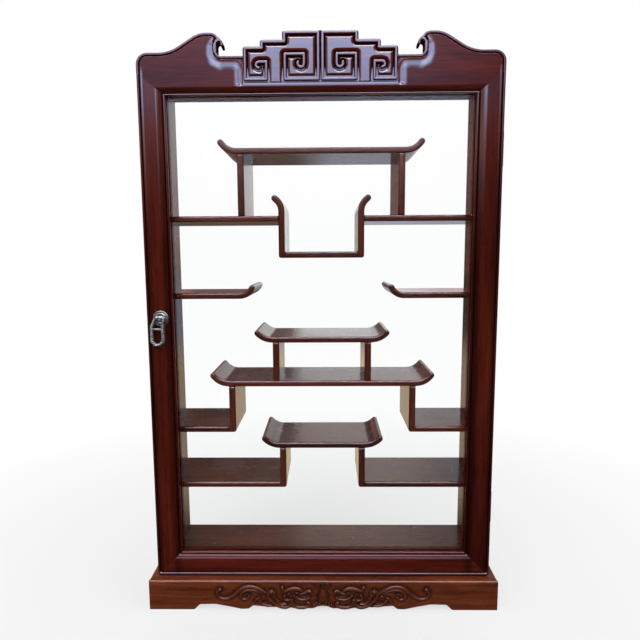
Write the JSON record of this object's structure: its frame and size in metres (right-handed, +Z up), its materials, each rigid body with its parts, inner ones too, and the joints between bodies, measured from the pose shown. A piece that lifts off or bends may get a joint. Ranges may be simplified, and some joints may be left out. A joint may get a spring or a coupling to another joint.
{
  "type": "display cabinet",
  "caption": "Slim glazed cabinet with stepped shelves with upturned ends behind one hinged glass door, a stepped fretwork crest and a scroll-carved plinth.",
  "frame": {"origin": "on the floor under the middle of the cabinet's outer box", "axes": "+X to the right seen from the front, +Y to the back, +Z up; the door faces -Y"},
  "size_m": [0.573, 0.1662, 0.909],
  "materials": {
    "door_wood": "polished dark red-brown hardwood",
    "case_wood": "polished dark brown hardwood",
    "shelf_wood": "polished dark brown hardwood",
    "plinth_wood": "polished orange-brown hardwood",
    "clear_glass": "clear",
    "hinge_brass": "satin",
    "pull_metal": "aged white bronze"
  },
  "bodies": {
    "cabinet": {"plinth_front": "plinth_wood", "plinth_side_right": "plinth_wood", "plinth_side_left": "plinth_wood", "plinth_back": "plinth_wood", "plinth_top": "plinth_wood", "case_side_right": "case_wood", "case_side_left": "case_wood", "case_top": "case_wood", "case_floor": "case_wood", "back_glass": "clear_glass", "back_strip_bottom": "case_wood", "back_strip_top": "case_wood", "back_strip_right": "case_wood", "back_strip_left": "case_wood", "crown_shelf": "shelf_wood", "crown_upright_right": "shelf_wood", "crown_upright_left": "shelf_wood", "wing_shelf_right": "shelf_wood", "wing_shelf_left": "shelf_wood", "trough_side_right": "shelf_wood", "trough_side_left": "shelf_wood", "trough_bottom": "shelf_wood", "ledge_left": "shelf_wood", "ledge_right": "shelf_wood", "bridge_shelf": "shelf_wood", "bridge_upright_right": "shelf_wood", "bridge_upright_left": "shelf_wood", "wide_shelf": "shelf_wood", "wide_upright_right": "shelf_wood", "wide_upright_left": "shelf_wood", "side_shelf_right": "shelf_wood", "side_shelf_left": "shelf_wood", "low_shelf": "shelf_wood", "low_upright_right": "shelf_wood", "low_upright_left": "shelf_wood", "bottom_shelf_right": "shelf_wood", "bottom_shelf_left": "shelf_wood", "hinge_lower_case_leaf": "hinge_brass", "hinge_lower_pin": "hinge_brass", "hinge_upper_case_leaf": "hinge_brass", "hinge_upper_pin": "hinge_brass", "hinge_screws_case": "hinge_brass"},
    "door": {"door_glass": "clear_glass", "door_strip_bottom": "door_wood", "door_strip_top": "door_wood", "door_strip_right": "door_wood", "door_strip_left": "door_wood", "door_stile_right": "door_wood", "door_stile_left": "door_wood", "door_bottom_rail": "door_wood", "door_crest_rail": "door_wood", "hinge_lower_door_leaf": "hinge_brass", "hinge_upper_door_leaf": "hinge_brass", "hinge_screws_door": "hinge_brass", "pull_plate": "pull_metal", "pull_post": "pull_metal"},
    "ring_pull": {"pull_ring": "pull_metal"}
  },
  "joints": [
    {"name": "door_hinge", "type": "hinge", "parent": "cabinet", "child": "door", "pos_m": [0.2783, -0.0458, 0.45], "axis": [0, 0, 1], "range_deg": [0, 170]},
    {"name": "ring_pull_swing", "type": "hinge", "parent": "door", "child": "ring_pull", "pos_m": [-0.2525, -0.0741, 0.483], "axis": [-1, 0, 0], "range_deg": [0, 95]}
  ]
}
